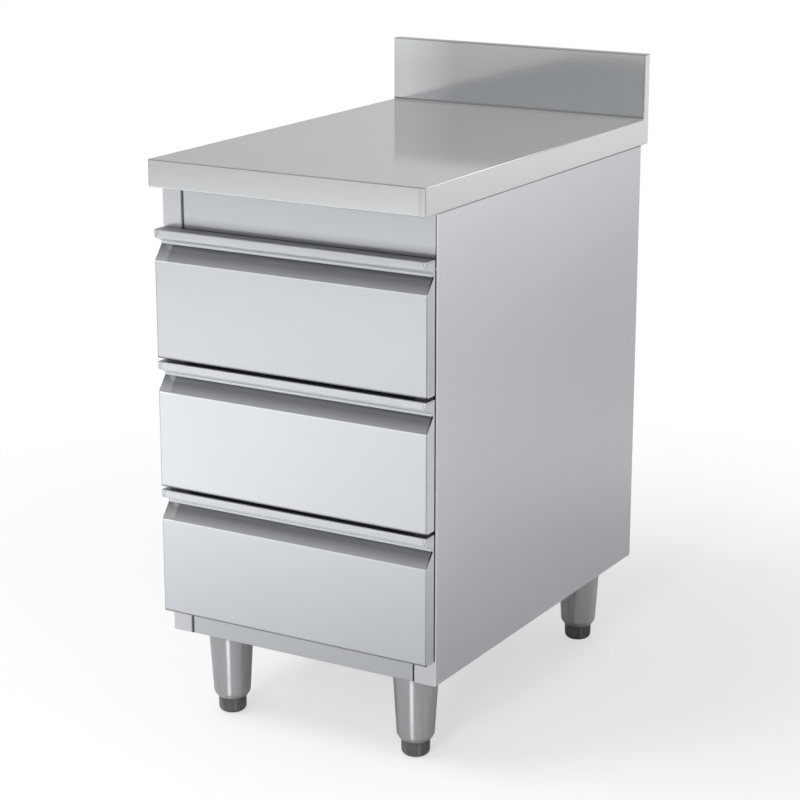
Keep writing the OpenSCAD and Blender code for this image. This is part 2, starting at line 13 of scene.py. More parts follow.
import bpy
import numpy as np
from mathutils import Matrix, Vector


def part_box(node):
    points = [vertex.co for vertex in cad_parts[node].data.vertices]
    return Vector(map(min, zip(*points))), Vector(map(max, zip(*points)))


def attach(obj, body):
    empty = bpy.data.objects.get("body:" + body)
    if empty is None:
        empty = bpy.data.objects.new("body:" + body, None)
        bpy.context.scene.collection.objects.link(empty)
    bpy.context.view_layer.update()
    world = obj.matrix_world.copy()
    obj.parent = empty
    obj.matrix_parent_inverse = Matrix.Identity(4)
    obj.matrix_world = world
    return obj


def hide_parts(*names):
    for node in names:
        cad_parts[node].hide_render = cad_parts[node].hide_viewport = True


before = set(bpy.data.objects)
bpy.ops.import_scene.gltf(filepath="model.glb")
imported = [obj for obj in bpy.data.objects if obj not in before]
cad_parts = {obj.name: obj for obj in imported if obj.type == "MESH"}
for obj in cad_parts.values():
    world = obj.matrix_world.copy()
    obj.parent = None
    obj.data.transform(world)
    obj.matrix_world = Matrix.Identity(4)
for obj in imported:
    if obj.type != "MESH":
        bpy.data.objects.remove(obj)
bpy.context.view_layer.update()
MM = 0.001


def node_box(name):
    """Lowest and highest corner of a CAD node, in millimetres."""
    low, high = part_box(name)
    return np.array(low) / MM, np.array(high) / MM


# %% [markdown]
# ## Camera
#
# The photograph looks down at the cabinet from its front right corner, from far away with a long lens, so that
# parallel edges stay nearly parallel. The camera's place was worked out from the corners of the worktop. It has
# no shift, so that the other views can turn it freely.

# %% Camera
CAMERA_PLACE = (1.702, -2.947, 1.397)
CAMERA_TURN = radians(30.29)
CAMERA_DIP = radians(15.61)
CAMERA_LENS = 104.1

camera = bpy.data.objects.new("camera", bpy.data.cameras.new("camera"))
bpy.context.scene.collection.objects.link(camera)
camera.data.lens = CAMERA_LENS
camera.data.sensor_width = 36
camera.location = CAMERA_PLACE
sight = Vector((-sin(CAMERA_TURN) * cos(CAMERA_DIP), cos(CAMERA_TURN) * cos(CAMERA_DIP), -sin(CAMERA_DIP)))
camera.rotation_euler = sight.to_track_quat("-Z", "Y").to_euler()
bpy.context.scene.camera = camera
bpy.context.scene.view_settings.view_transform = "Standard"
print("camera looks along", [round(x, 3) for x in sight])

# %% [markdown]
# ## A small language for shaders
#
# Every finish below is a pattern worked out with numbers. Written node by node it would fill pages, so one
# small class wraps a socket: arithmetic on it adds Math nodes, and the code reads like the formula. All other
# nodes come from one method of a second class, which takes the node's type, its settings and its sockets' input.


# %% Shader maths
class Value:
    """The output of a node. Arithmetic on it adds Math nodes to the same tree."""

    def __init__(self, finish, socket):
        self.finish, self.socket = finish, socket

    def math(self, operation, *inputs):
        """A Math node: the operation on numbers or Values."""
        return self.finish.add("Math", {"operation": operation}, dict(enumerate(inputs)))

    def __add__(self, other):
        return self.math("ADD", self, other)

    def __sub__(self, other):
        return self.math("SUBTRACT", self, other)

    def __rsub__(self, other):
        return self.math("SUBTRACT", other, self)

    def __mul__(self, other):
        return self.math("MULTIPLY", self, other)

    __radd__, __rmul__ = __add__, __mul__

    def ramp(self, low, high):
        """Rises smoothly from 0 where the value is low to 1 where it is high."""
        return self.finish.add("MapRange", {"interpolation_type": "SMOOTHSTEP"},
                               {"Value": self, "From Min": low, "From Max": high})


class Finish:
    """A node tree that is being written, for a material or the world."""

    def __init__(self, tree):
        self.tree = tree
        tree.nodes.clear()

    def add(self, kind, settings=None, sockets=None, output=0):
        """One node of that type: its settings are set first, then its sockets get a number or a link."""
        node = self.tree.nodes.new("ShaderNode" + kind)
        for name, value in (settings or {}).items():
            setattr(node, name, value)
        for name, value in (sockets or {}).items():
            if isinstance(value, Value):
                self.tree.links.new(value.socket, node.inputs[name])
            else:
                node.inputs[name].default_value = value
        return Value(self, node.outputs[output]) if node.outputs else None

    def mix(self, factor, first, second):
        """The first colour where the factor is 0, the second where it is 1."""
        return self.add("Mix", {"data_type": "RGBA"}, {0: factor, 6: first, 7: second}, output=2)

    def place(self, scale):
        """Object coordinates in metres, times the scale along each axis."""
        where = self.add("TexCoord", output="Object")
        return self.add("Mapping", {}, {"Vector": where, "Scale": scale})

    def noise(self, scale, detail=2.0, roughness=0.5):
        """Soft noise from 0 to 1 with that many lumps per metre along X, Y and Z."""
        return self.add("TexNoise", {}, {"Vector": self.place(scale), "Scale": 1.0, "Detail": detail,
                                         "Roughness": roughness})

    def mark(self, name):
        """The number that the points of a piece carry under that name."""
        return self.add("Attribute", {"attribute_name": name}, output="Fac")

    def bump(self, height):
        """Slopes of a skin that is raised by that height in metres."""
        return self.add("Bump", {}, {"Height": height, "Distance": 1.0, "Strength": 1.0})

    def surface(self, sockets):
        """Ends a material with the standard shader."""
        self.add("OutputMaterial", {}, {"Surface": self.add("BsdfPrincipled", {}, sockets)})


def grey(level, cool=(0.0, 0.0)):
    """A grey of that linear level, with a share less red and a share more blue."""
    return (level * (1 - cool[0]), level, level * (1 + cool[1]), 1.0)


# %% [markdown]
# ## Studio
#
# Steel shows the room more than itself, and the photograph's room can be read off the cabinet: the worktop
# mirrors a pale wall behind, the fronts mirror the floor before them, and the upstand, which mirrors the worktop
# and through it the space behind the camera, is darker. A picture of a room could be wrapped round the scene.
# A plain gradient gives the same shades and is easier to change, so the world only grows lighter to the back.
#
# Three lamps stand in it. The large one above the front left gives the soft light. Steel doesn't mirror it,
# because its image would lie on the worktop as a white patch. The narrow one beside the camera draws the long
# highlights on the round legs, and the flat one behind draws a bright line along the worktop's right edge.

# %% World
BEHIND, IN_FRONT, OVERHEAD = 0.50, 0.32, 0.5
FRONT_TO_BACK = (-0.5, 0.6)
TO_OVERHEAD = (0.85, 1.0)

world = bpy.data.worlds.new("studio")
bpy.context.scene.world = world
world.use_nodes = True
sky = Finish(world.node_tree)
direction = sky.add("TexCoord", output="Generated")
split = sky.add("SeparateXYZ", {}, {"Vector": direction})
back_and_forth = Value(sky, split.socket.node.outputs["Y"])
up = Value(sky, split.socket.node.outputs["Z"])
level = IN_FRONT + back_and_forth.ramp(*FRONT_TO_BACK) * (BEHIND - IN_FRONT)
level = level + up.ramp(*TO_OVERHEAD) * (OVERHEAD - level)
seen = sky.add("LightPath", output="Is Camera Ray")
tone = sky.mix(seen, sky.mix(level, grey(0.0), grey(1.0)), grey(1.0))
sky.add("OutputWorld", {}, {"Surface": sky.add("Background", {}, {"Color": tone, "Strength": 1.0})})
print("world: in front", IN_FRONT, "behind", BEHIND, "overhead", OVERHEAD)

# %% Lamps
LAMPS = [
    # name, place, target, width, height, power, whether steel mirrors it
    ("lamp_above", (-1.5, -1.85, 3.6), (-1.3, -1.6, 0.0), 1.8, 1.8, 109.0, False),
    ("lamp_beside", (0.6, -3.2, 1.5), (0.0, -0.3, 0.1), 0.5, 1.6, 46.0, True),
    ("lamp_behind", (0.7, 3.6, 3.0), (0.0, 0.0, 0.85), 1.8, 0.3, 5.0, True),
]
for name, place, target, width, height, power, is_mirrored in LAMPS:
    data = bpy.data.lights.new(name, "AREA")
    data.shape = "RECTANGLE"
    data.size, data.size_y, data.energy = width, height, power
    lamp = bpy.data.objects.new(name, data)
    bpy.context.scene.collection.objects.link(lamp)
    lamp.location = place
    lamp.visible_glossy = is_mirrored
    lamp.rotation_euler = (Vector(target) - Vector(place)).to_track_quat("-Z", "Y").to_euler()
print("lamps:", [row[0] for row in LAMPS])

# %% [markdown]
# ## Floor
#
# The floor has to look white and still take a shadow. More light would make it white, but it would burn out the
# steel. So it is a pale matt plane mixed with one that shines by itself, though only for the camera and for
# mirrored rays, which puts no light on the cabinet. For the camera the shining share is over half everywhere,
# which keeps the shadow faint, and all of it from 1.6 m on. Mirrored rays see the floor white only far out, and
# near the front right they see a painted shadow, a darker floor colour, because the drawer fronts in the
# photograph mirror it so.

# %% Floor
FLOOR_REACH = 40.0
FLOOR_COLOUR = grey(0.88)
SHADOW_FADE, FADE_ZONE = 0.6, (0.4, 1.6)
# Painted shadow on the floor for mirrored rays: its centre, its reach, and the share of the colour it keeps.
PAINTED_SHADOW_CENTRE, PAINTED_SHADOW_REACH, PAINTED_SHADOW_SHARE = (0.45, -1.3, 0.0), 2.7, 0.58
WHITE_CENTRE, WHITE_ZONE = (-1.4, -1.9, 0.0), (3.3, 9.0)

floor_mesh = bpy.data.meshes.new("floor")
floor_mesh.from_pydata([(x * FLOOR_REACH, y * FLOOR_REACH, 0.0) for x, y in ((-1, -1), (1, -1), (1, 1), (-1, 1))],
                       [], [(0, 1, 2, 3)])
floor = bpy.data.objects.new("floor", floor_mesh)
bpy.context.scene.collection.objects.link(floor)
paint = bpy.data.materials.new("floor_paint")
paint.use_nodes = True
ground = Finish(paint.node_tree)
where = ground.add("TexCoord", output="Object")
from_body, near, out = (
    ground.add("VectorMath", {"operation": "DISTANCE"}, {0: where, 1: centre}, output="Value")
    for centre in ((0.0, 0.0, 0.0), PAINTED_SHADOW_CENTRE, WHITE_CENTRE))
camera_ray, glossy_ray, clear_ray = (
    ground.add("LightPath", output=f"Is {kind} Ray") for kind in ("Camera", "Glossy", "Transmission"))
shine = (SHADOW_FADE + from_body.ramp(*FADE_ZONE) * (1 - SHADOW_FADE)) * camera_ray
shine = shine + out.ramp(*WHITE_ZONE) * (glossy_ray + clear_ray)
# Painted shadow: mirrored rays see the floor's colour darker near the front right.
painted_shadow = (1 - near.ramp(0.0, PAINTED_SHADOW_REACH)) * glossy_ray
colour = ground.mix(painted_shadow, FLOOR_COLOUR, grey(FLOOR_COLOUR[0] * PAINTED_SHADOW_SHARE))
matt = ground.add("BsdfDiffuse", {}, {"Color": colour})
white = ground.add("Emission", {}, {"Color": grey(1.0), "Strength": 1.0})
ground.add("OutputMaterial", {}, {"Surface": ground.add("MixShader", {}, {0: shine, 1: matt, 2: white})})
floor_mesh.materials.append(paint)
print("floor: white for the camera from", FADE_ZONE[1], "m on, and for steel from", WHITE_ZONE[1], "m on")

# %% [markdown]
# ## Finishes
#
# Kitchen steel is ground with a fine belt. The grain runs one way along the whole sheet, the sheet itself is
# never quite flat, and handling leaves faint cloudy patches. A picture of steel could be laid on the faces, but
# it would repeat, and it would mirror a room of its own. Noise has neither fault. The grain is noise drawn out
# along one axis, which changes the tone, the roughness and, a little, the slope. The unevenness is a second
# noise, hundreds of millimetres wide and a fraction of a millimetre high: it bends what the sheet mirrors.
#
# Places such as a ground lip differ from the rest of their sheet, and many places get painted light or painted
# shade, such as the dark seams. Their points get marks, which are numbers under a name, and the finish reads
# them by that name.


# %% New material
def new_material(name):
    """An empty material and the tree to write it in."""
    material = bpy.data.materials.new(name)
    material.use_nodes = True
    return material, Finish(material.node_tree)


# %% Trace of a weld
OUTER_SLOPE = 0.26
INNER_START, INNER_SLOPE = 8.0, 0.4
STROKE_EDGE = (0.3, 1.1)
WELD_TOP, WELD_FOOT = (1.0, 2.5), (11.0, 12.5)


def weld_mark(f, end_x):
    """V-shaped trace of a ground weld at both ends of a grip lip, in millimetres. The mark drop is the distance
    below the lip's top edge. The outer stroke lies where the distance from the end is slope * drop, and the
    inner one where it is start - slope * drop."""
    drop = f.mark("drop")
    x = f.add("SeparateXYZ", {}, {"Vector": f.add("TexCoord", output="Object")})
    inward = (end_x * MM - x.math("ABSOLUTE", x)) * (1 / MM)
    outer, inner = inward - OUTER_SLOPE * drop, inward - INNER_START + INNER_SLOPE * drop
    stroke = outer.math("MINIMUM", outer.math("ABSOLUTE", outer), inner.math("ABSOLUTE", inner))
    return (1 - stroke.ramp(*STROKE_EDGE)) * drop.ramp(*WELD_TOP) * (1 - drop.ramp(*WELD_FOOT))


# %% Brushed steel
LIP_STREAKS, LIP_HEIGHT, LIP_ROUGHNESS = 0.22, 0.000006, 0.14
SATIN_SHARE = 0.6
WELD_SHADE = 0.35
GRAIN_ROUGHNESS, PATCH_ROUGHNESS = 0.05, 0.06
ACROSS_THE_GRAIN = 0.25


def steel(name, level, roughness, grain, wave=(2.2, 2.2, 2.2), wave_height=0.0004, streaks=0.05,
          metallic=0.95, cool=(0.02, 0.02), anisotropic=0.0, weld_x=None, patches=(3.1, 3.1, 3.1), patch_strength=0.05,
          grain_height=0.000002):
    """Ground sheet steel: grain, wave and patches are lumps per metre along X, Y and Z. Marks on the points
    change it: lip is more strongly ground, satin is less metallic, and tone is added to the level. Most of the
    tone is painted light and painted shade, and the rest is dark welded corners and a smudge on the worktop. The
    weld's place is its distance from the middle in millimetres."""
    material, f = new_material(name)
    fine = f.noise(grain, detail=3.0, roughness=0.6)
    cloud = f.noise(patches, detail=4.0, roughness=0.6)
    lip, tone, satin = f.mark("lip"), f.mark("tone"), f.mark("satin")
    strength = streaks + LIP_STREAKS * lip
    # The tone mark brings in the painted light and painted shade.
    shade = (1.0 + (fine - 0.5) * strength + (cloud - 0.5) * patch_strength) * (1.0 + tone)
    if weld_x:
        shade = shade * (1 - WELD_SHADE * weld_mark(f, weld_x))
    colour = f.add("VectorMath", {"operation": "SCALE"}, {0: grey(level, cool)[:3], "Scale": shade})
    height = f.noise(wave, detail=1.0) * wave_height + fine * (grain_height + LIP_HEIGHT * lip)
    bump = f.bump(height)
    metal = metallic - SATIN_SHARE * satin
    rough = roughness + (fine - 0.5) * GRAIN_ROUGHNESS + (cloud - 0.5) * PATCH_ROUGHNESS + LIP_ROUGHNESS * lip
    f.surface({"Base Color": colour, "Metallic": metal, "Anisotropic": anisotropic,
               "Anisotropic Rotation": ACROSS_THE_GRAIN, "Roughness": rough, "Normal": bump})
    return material


# %% The seven steels
GRAIN_LONG, GRAIN_ACROSS = 9.0, 650.0
along_x = (GRAIN_LONG, GRAIN_ACROSS, GRAIN_ACROSS)
along_y = (GRAIN_ACROSS, GRAIN_LONG, GRAIN_ACROSS)
around_z = (30.0, 30.0, 420.0)
front_end = float(node_box("drawer_front_1")[1][0])
worktop_steel = steel("worktop_steel", 0.75, 0.095, along_x, metallic=0.97, cool=(0.025, 0.022))
front_steel = steel("front_steel", 0.71, 0.21, along_x, metallic=0.97, cool=(0.03, 0.05), weld_x=front_end)
side_steel = steel("side_steel", 0.74, 0.22, along_y, cool=(0.012, 0.045))
plain_steel = steel("plain_steel", 0.62, 0.3, along_x, streaks=0.04, wave_height=0.00012, grain_height=0.0000004)
leg_steel = steel("leg_steel", 0.56, 0.36, around_z, streaks=0.14, wave_height=0.0, cool=(0.02, 0.03), anisotropic=0.95,
                  patches=(75.0, 75.0, 4.0), patch_strength=0.55)
zinc = steel("zinc", 0.58, 0.34, (60.0, 60.0, 60.0), streaks=0.12, wave_height=0.0, cool=(0.03, 0.03))
bright_steel = steel("bright_steel", 0.74, 0.16, (90.0, 90.0, 90.0), wave_height=0.0)
# Blender adds .001 to a name that one of the CAD model's own materials has.
print("steels:", [m.name for m in (worktop_steel, front_steel, side_steel, plain_steel, leg_steel, zinc,
                                   bright_steel)])

# %% [markdown]
# ## Moulded and pressed finishes
#
# The feet are moulded plastic, and in the photograph their black is a dark grey with paler specks and scuffs,
# and light along the edges. One colour would look like a drawing, so the specks and scuffs are noises that are
# cut off at a level, and the light along the edges is a painted highlight, a mark on the points. The stiffening
# board under the worktop is pressed from wood chips, which are flat cells of several browns.


# %% Moulded plastic and rubber
COOL_GREY = (0.02, 0.03)
SPECKS, SPECK_LEVELS = (900.0, 900.0, 900.0), (0.58, 0.70)
SCUFFS, SCUFF_LEVELS = (70.0, 70.0, 70.0), (0.45, 0.75)
PITS, PIT_HEIGHT = (700.0, 700.0, 700.0), 0.00003
SCUFF_SHARE, SCUFF_ROUGHNESS = 0.25, 0.12
EDGE_HIGHLIGHT_SHARE = 0.6
PALER = 3.2


def moulded(name, level, roughness, speckle):
    """Moulded plastic or rubber: a dark ground with paler specks and scuffs, a painted highlight along marked edges,
    and a pitted skin.
    """
    material, f = new_material(name)
    specks = f.noise(SPECKS, detail=1.0).ramp(*SPECK_LEVELS)
    scuffs = f.noise(SCUFFS, detail=5.0, roughness=0.7).ramp(*SCUFF_LEVELS)
    pitted = f.noise(PITS)
    edge_highlight = f.mark("edge_highlight")
    colour = f.mix(specks * speckle + scuffs * SCUFF_SHARE + edge_highlight * EDGE_HIGHLIGHT_SHARE, grey(level, COOL_GREY),
                   grey(level * PALER, COOL_GREY))
    bump = f.bump(pitted * PIT_HEIGHT)
    f.surface({"Base Color": colour, "Roughness": roughness + scuffs * SCUFF_ROUGHNESS, "Normal": bump})
    return material


foot_plastic = moulded("foot_plastic", 0.075, 0.34, 0.5)
rubber = moulded("rubber", 0.02, 0.6, 0.2)
print("moulded finishes:", foot_plastic.name, rubber.name)

# %% Chipboard
CHIPS = (160.0, 90.0, 420.0)
DARK_CHIP, PALE_CHIP = (0.34, 0.22, 0.11, 1), (0.62, 0.47, 0.28, 1)
CHIP_HEIGHT = 0.0002


def chipboard(name):
    """Pressed wood chips: flat cells of several browns, drawn out along the board."""
    material, f = new_material(name)
    chips = f.add("TexVoronoi", {}, {"Vector": f.place(CHIPS), "Scale": 1.0}, output="Color")
    tone = f.add("SeparateColor", {}, {"Color": chips})
    colour = f.mix(tone, DARK_CHIP, PALE_CHIP)
    bump = f.bump(tone * CHIP_HEIGHT)
    f.surface({"Base Color": colour, "Roughness": 0.75 + tone * 0.1, "Normal": bump})
    return material


board = chipboard("board")
print("board's finish:", board.name)

# %% [markdown]
# ## Surfaces from arrays
#
# A folded sheet could be modelled by hand, by extruding and bevelling a plane. As a formula it keeps to the
# measured sizes by itself: it is a path, drawn across the fold, that is carried along it. So each piece starts as
# a short list of corners with radii. The corners become arcs, the path becomes a grid of points, and neighbouring
# points become faces. A sheet is first made without thickness. Solidify then gives it the thickness inwards,
# which keeps the outer faces where the CAD has them, and a small bevel breaks the cut edges.


# %% Paths with rounded corners
def unit(vectors):
    """The same directions with length 1."""
    return vectors / np.maximum(np.linalg.norm(vectors, axis=-1, keepdims=True), 1e-12)


def rounded(corners, closed=False, steps=6):
    """Path through (u, v, radius) corners. Each corner is an arc that touches both of its edges: its centre
    lies on the bisector, radius / sin(half angle) from the corner."""
    path = np.array(corners, float)
    at, radius = path[:, :2], path[:, 2:]
    to_before = unit(np.roll(at, 1, axis=0) - at)
    to_after = unit(np.roll(at, -1, axis=0) - at)
    half = np.arccos(np.clip((to_before * to_after).sum(1, keepdims=True), -1, 1)) / 2
    turn = np.maximum(pi - 2 * half, 1e-6)
    sine, tangent = np.maximum(np.sin(half), 1e-9), np.maximum(np.tan(half), 1e-9)
    middle = at + unit(to_before + to_after) * radius / sine
    first = at + to_before * radius / tangent - middle
    last = at + to_after * radius / tangent - middle
    share = np.linspace(0, 1, steps + 1)[:, None] * turn[:, None]
    arcs = (np.sin(turn[:, None] - share) * first[:, None] + np.sin(share) * last[:, None]) / np.sin(turn[:, None])
    plain = (radius == 0)[:, None]
    points = np.where(plain, at[:, None], middle[:, None] + arcs).reshape(-1, 2)
    if not closed:
        points = points[steps:len(points) - steps]
    keep = np.linalg.norm(points - np.roll(points, 1, axis=0), axis=1) > 1e-5
    keep[0] = keep[0] or not closed
    return points[keep]


def outward(path, closed=False):
    """Vectors that point out to the right of the path. At a corner they are long enough to keep both
    neighbouring edges parallel when the path is moved along them."""
    ahead = unit(np.roll(path, -1, axis=0) - path)
    right = np.stack([ahead[:, 1], -ahead[:, 0]], axis=1)
    before = np.roll(right, 1, axis=0)
    if not closed:
        before[0], right[-1] = right[0], right[-2]
    return (before + right) / (1 + (before * right).sum(1, keepdims=True))


# %% Grids of points
def grid_faces(rows, columns, keep=None, wrap=(False, False), flip=False):
    """Four-sided faces between neighbouring points of a grid, only where keep is true."""
    row, column = np.meshgrid(np.arange(rows - (not wrap[0])), np.arange(columns - (not wrap[1])), indexing="ij")
    if keep is not None:
        row, column = row[keep], column[keep]
    row, column = row.ravel(), column.ravel()
    below, beside = (row + 1) % rows, (column + 1) % columns
    faces = np.stack([row * columns + column, below * columns + column,
                      below * columns + beside, row * columns + beside], axis=1)
    return faces[:, ::-1] if flip else faces


def carried(path, axis, stations, keep=None, flip=False):
    """Folded sheet: the path lies across the axis and is repeated at each station along it. The outer face is
    on the path's right."""
    grid = np.empty((len(path), len(stations), 3))
    across = [k for k in range(3) if k != axis]
    grid[..., across] = path[:, None]
    grid[..., axis] = stations
    return grid.reshape(-1, 3), [grid_faces(*grid.shape[:2], keep=keep, flip=flip != (axis == 1))]


def end_rounded(path, half, edge, closed=False, stations=(), keep=None, tail=None, steps=5):
    """Section carried along X from -half to +half, with rounded ends closed by flat plates. Near each end the
    section moves in by edge * (1 - cos a) while X goes on by edge * sin a, for a from 0 to 90 degrees. The tail is
    more of the end plates' outline, after the path's last point."""
    angle = np.linspace(0, pi / 2, steps + 1)
    x = half - edge + edge * np.sin(angle)
    inset = edge * (1 - np.cos(angle))
    x = np.concatenate([-x[::-1], stations, x])
    inset = np.concatenate([inset[::-1], np.zeros(len(stations)), inset])
    grid = np.empty((len(path), len(x), 3))
    grid[..., 0] = x
    grid[..., 1:] = path[:, None] - outward(path, closed)[:, None] * inset[None, :, None]
    rows, columns = grid.shape[:2]
    start = np.arange(rows)[None] * columns
    cells = None if keep is None else keep(x)
    points, left_end, right_end = grid.reshape(-1, 3), start, start + columns - 1
    if tail is not None:
        more = np.concatenate([np.insert(tail, 0, end, axis=1) for end in (-half, half)])
        left_end = np.append(left_end, len(points) + np.arange(len(tail)))[None]
        right_end = np.append(right_end, len(points) + len(tail) + np.arange(len(tail)))[None]
        points = np.concatenate([points, more])
    return points, [grid_faces(rows, columns, keep=cells, wrap=(closed, False)), left_end[:, ::-1], right_end]


def polar(centre, radius, height, angle, wrap=False):
    """Surface about a vertical axis, with a row for each height and a column for each angle: x and y are the
    centre plus radius * cos a and radius * sin a. The radius may differ from point to point."""
    grid = np.empty((len(height), len(angle), 3))
    grid[..., 0] = centre[0] + radius * np.cos(angle)
    grid[..., 1] = centre[1] + radius * np.sin(angle)
    grid[..., 2] = height
    return grid.reshape(-1, 3), [grid_faces(len(height), len(angle), wrap=(wrap, True), flip=True)]


def full_circle(segments):
    """That many angles, evenly round a circle."""
    return np.arange(segments) * 2 * pi / segments


def mirrored(surface):
    """The same surface on the other side of the YZ plane, with its faces still pointing out."""
    points, faces = surface
    return points * (-1, 1, 1), [block[:, ::-1] for block in faces]


# %% Pieces from surfaces
CUT_ANGLE = radians(50)


def add_piece(name, surfaces, body, material, replaces=(), wall=0.0, edge=0.0):
    """One object from surfaces in millimetres. It rides on the body and stands for the CAD nodes. A wall above
    0 is the sheet's thickness, and an edge above 0 is the radius of its cut edges."""
    points, faces, start = [], [], 0
    for more, blocks in surfaces:
        points.append(more)
        faces += [block + start for block in blocks]
        start += len(more)
    points = np.concatenate(points)
    used = np.unique(np.concatenate([block.ravel() for block in faces]))
    number = np.zeros(len(points), int)
    number[used] = np.arange(len(used))
    mesh = bpy.data.meshes.new(name)
    mesh.from_pydata((points[used] * MM).tolist(), [], [f for block in faces for f in number[block].tolist()])
    mesh.validate()
    mesh.shade_smooth()
    mesh.materials.append(material)
    piece = bpy.data.objects.new(name, mesh)
    bpy.context.scene.collection.objects.link(piece)
    if wall:
        solid = piece.modifiers.new("wall", "SOLIDIFY")
        solid.thickness, solid.offset, solid.use_even_offset = wall * MM, -1.0, True
    if edge:
        bevel = piece.modifiers.new("edge", "BEVEL")
        bevel.width, bevel.segments, bevel.limit_method = edge * MM, 2, "ANGLE"
        bevel.angle_limit, bevel.use_clamp_overlap = CUT_ANGLE, True
        piece.modifiers.new("normals", "WEIGHTED_NORMAL").keep_sharp = True
    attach(piece, body)
    if replaces:
        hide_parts(*replaces)
    return piece


# %% Marks on points
def points_of(piece):
    """X, Y and Z of the piece's points, in millimetres."""
    points = np.empty(len(piece.data.vertices) * 3, np.float32)
    piece.data.vertices.foreach_get("co", points)
    return points.reshape(-1, 3).T / MM


def mark(piece, name, values):
    """Writes one number for each point of the piece, which a finish can read by that name."""
    piece.data.attributes.new(name, "FLOAT", "POINT").data.foreach_set("value", values.astype(np.float32))


# %% [markdown]
# ## Worktop
#
# The worktop is one sheet of 1.5 mm steel. Seen from the side it is a closed outline: up the back of the
# upstand, over its top, down into a rounded cove, along the top, down the front edge and back underneath. It
# could be put together from boxes, but then the cove and the folds would be missing, and they are what shows its
# thickness. So the outline is carried across the width with rounded ends. Underneath, the middle is left out, so
# that what remains there is the flange that is folded in all round.

# %% The worktop's outline
WORKTOP_SHEET = 1.5
UPSTAND_THICK = 17.0
COVE_R, TOP_FOLD = 4, 2
SEAT = 10
low, high = node_box("worktop")
body_low, body_high = node_box("side_panel_right")
top_z = node_box("worktop_board")[1][2] + WORKTOP_SHEET
under_z = low[2]
seat_front, seat_back = body_low[1] + SEAT, body_high[1] - SEAT
outline = rounded([
    (seat_back, under_z, 0), (high[1], under_z, TOP_FOLD), (high[1], high[2], TOP_FOLD),
    (high[1] - UPSTAND_THICK, high[2], TOP_FOLD), (high[1] - UPSTAND_THICK, top_z, COVE_R),
    (low[1], top_z, TOP_FOLD), (low[1], under_z, TOP_FOLD), (seat_front, under_z, 0),
], closed=True)
print("worktop outline points:", len(outline))

# %% The worktop's surface
SIDE_FLANGE = 25.0
END_EDGE = 1.6
SMUDGE, SMUDGE_HALF = 9.0, 6.0
# Painted reflection along the upstand: light at its left end and darker to the right, at these places.
UPSTAND_PLACES, UPSTAND_PAINTED_REFLECTION = (-200.0, -110.0, 225.0), (0.22, -0.15, -0.12)
middle_y = (outline[:, 1] < under_z + 0.01) & (np.roll(outline, -1, axis=0)[:, 1] < under_z + 0.01)
open_row = middle_y & (outline[:, 0] < seat_front + 1) & (outline[:, 0] > seat_front - 1)


def worktop_cells(x):
    """All cells but the open middle underneath, between the side flanges."""
    middle = (x[:-1] > -high[0] + SIDE_FLANGE - 1) & (x[1:] < high[0] - SIDE_FLANGE + 1)
    return ~(open_row[:, None] & middle[None])


inner = high[0] - np.array([SIDE_FLANGE, SMUDGE + SMUDGE_HALF, SMUDGE, SMUDGE - SMUDGE_HALF])
stations = np.concatenate([-inner[::-1], [UPSTAND_PLACES[1]], inner])
worktop = add_piece(
    "worktop_folded", [end_rounded(outline, high[0], END_EDGE, closed=True, stations=stations, keep=worktop_cells)],
    "cabinet", worktop_steel, ["worktop"], wall=WORKTOP_SHEET, edge=0.3)
print("worktop points:", len(worktop.data.vertices))

# %% [markdown]
# The photograph shows tones on the worktop that the world's gradient can't give. The top is satin, and painted
# light makes it lighter to the right and to the back. A painted reflection makes the upstand lightest at its
# left end. The welded corners are dark lines, and the cove is a dark line of painted shade. The worktop's ends get
# painted shade growing to the back, and the apron painted light. Painted on a picture they would be tied to its
# resolution. As marks they are formulas of the points' places, and they fade from one line of points to the next.

# %% The worktop's marks
TOP_SATIN = 0.65
# Painted light: the top grows lighter to the right and to the back.
TOP_PAINTED_LIGHT = (0.09, 0.14)
# Painted light on the apron, and painted shade on the worktop's ends, growing to the back.
APRON_PAINTED_LIGHT, END_PAINTED_SHADE = 0.07, 0.06
# The welded corners and the smudge are dark marks of the sheet, and the cove gets painted shade.
CORNER_SHADE, COVE_PAINTED_SHADE, SMUDGE_SHADE = 0.3, 0.3, 0.15
x, y, z = points_of(worktop)
from_middle = np.abs(x)
end = from_middle > high[0] - 0.1
top_face = (z > top_z - 0.1) & (z < top_z + 0.5)
upstand_face = (z > top_z + 3) & (y < high[1] - 3)
apron_face = y < low[1] + 0.1
corner = (from_middle > high[0] - END_EDGE - 0.1) & ~end & (apron_face | upstand_face)
cove = (z > top_z + 0.3) & (z < top_z + 3.8) & (y < high[1] - 3) & ~end
smudge = apron_face & (np.abs(x - high[0] + SMUDGE) < 0.1)
mark(worktop, "satin", TOP_SATIN * top_face)
# The tone mark: painted reflection on the upstand, painted light on the top and the apron, painted shade on the ends
# and in the cove, and the dark corners and smudge.
mark(worktop, "tone", np.interp(x, UPSTAND_PLACES, UPSTAND_PAINTED_REFLECTION) * (upstand_face & ~end)
     + top_face * (TOP_PAINTED_LIGHT[0] * x / high[0] + TOP_PAINTED_LIGHT[1] * y / high[1]) + APRON_PAINTED_LIGHT * (apron_face & ~end)
     - END_PAINTED_SHADE * (y / high[1] + 1) * end - CORNER_SHADE * corner - COVE_PAINTED_SHADE * cove - SMUDGE_SHADE * smudge)
print("points on the top face:", top_face.sum(), "and on the upstand:", upstand_face.sum())

# %% [markdown]
# ## Body
#
# Each side panel is folded at its front into the corner post and at its back into a flange for the back panel.
# On the right the fascia runs across the post, so the post stops beneath it, with a seam. One path drawn round
# the panel as seen from above makes all of it, where separate boxes would leave gaps at the folds. Some flanges
# are narrower than the sheet, and there the grid leaves cells out.

